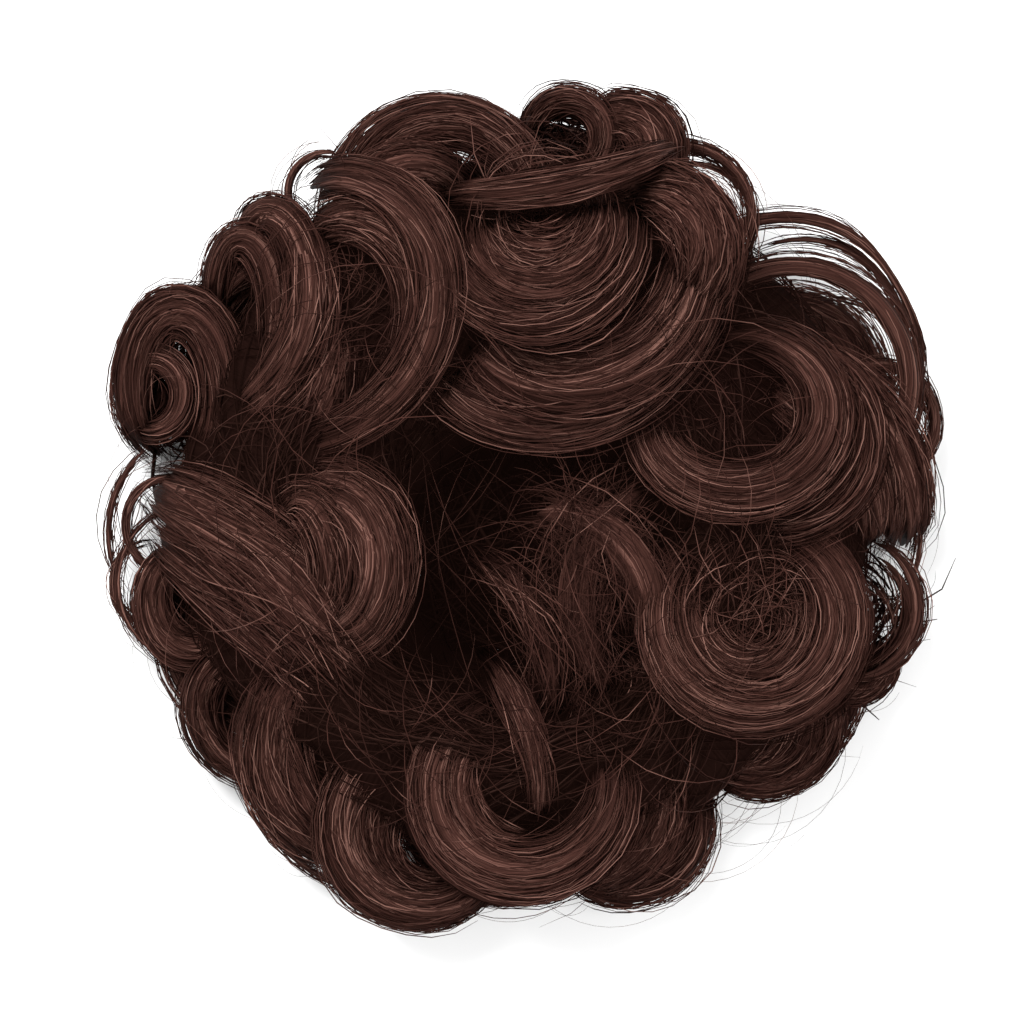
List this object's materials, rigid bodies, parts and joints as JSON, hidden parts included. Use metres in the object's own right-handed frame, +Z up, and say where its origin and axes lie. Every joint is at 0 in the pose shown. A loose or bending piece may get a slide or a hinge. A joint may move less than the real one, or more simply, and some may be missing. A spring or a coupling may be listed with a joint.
{
  "type": "top knot hairpiece",
  "caption": "Messy top knot hairpiece: curled brown locks rooted in a bed of short hair round an elastic band, open underneath for the wearer's own bun.",
  "frame": {"origin": "under the middle of the hair's outline, on the plane that the flat underside rests on", "axes": "+Z up, out of the crown of the curls; +Y to the top of the hair as it is seen in plan; the bun opening lies a little to -Y"},
  "size_m": [0.1602, 0.159, 0.0604],
  "materials": {
    "hair": "soft satin hair fibre, dark brown with a faint red cast",
    "under_hair": "packed short hair, darker",
    "weft_thread": "matt sewn track",
    "elastic": "matt knitted elastic"
  },
  "bodies": {
    "root": {"under_hair": "under_hair", "weft_track": "weft_thread", "elastic_band": "elastic", "centre_strand": "hair", "centre_roll_inner": "hair", "centre_roll": "hair", "upper_right_fall": "hair", "under_roll": "hair", "under_roll_outer": "hair", "upper_left_curl": "hair", "upper_left_curl_inner": "hair", "right_upper_curl": "hair", "right_upper_curl_outer": "hair", "right_lower_curl": "hair", "right_lower_curl_inner": "hair", "left_bump": "hair", "left_bump_inner": "hair", "left_sweep": "hair", "left_under_sweep": "hair", "rim_fall": "hair", "rim_fall_inner": "hair", "rim_roll": "hair", "rim_roll_outer": "hair", "top_left_curl": "hair", "top_left_curl_inner": "hair", "top_curl": "hair", "top_curl_outer": "hair", "bottom_curl": "hair", "bottom_curl_inner": "hair", "inner_tress": "hair", "bottom_left_curl": "hair", "bottom_left_curl_inner": "hair", "bottom_right_fall": "hair", "bottom_right_sweep": "hair", "bottom_right_rim": "hair", "lower_left_fall": "hair", "lower_left_loop": "hair", "left_ringlet": "hair", "left_ringlet_inner": "hair", "left_ringlet_top": "hair", "left_low_curl": "hair", "right_inner_sweep": "hair", "right_outer_sweep": "hair", "right_second_arc": "hair", "right_low_curl": "hair", "right_low_curl_inner": "hair", "right_rim_curl": "hair", "right_rim_curl_inner": "hair", "right_long_arc": "hair", "right_edge_loop": "hair", "top_right_arc": "hair", "top_stray_arc": "hair", "left_stray_loop": "hair", "rim_lock_1": "hair", "rim_lock_2": "hair", "rim_lock_3": "hair", "rim_lock_4": "hair", "rim_lock_5": "hair", "rim_lock_6": "hair"}
  },
  "joints": []
}
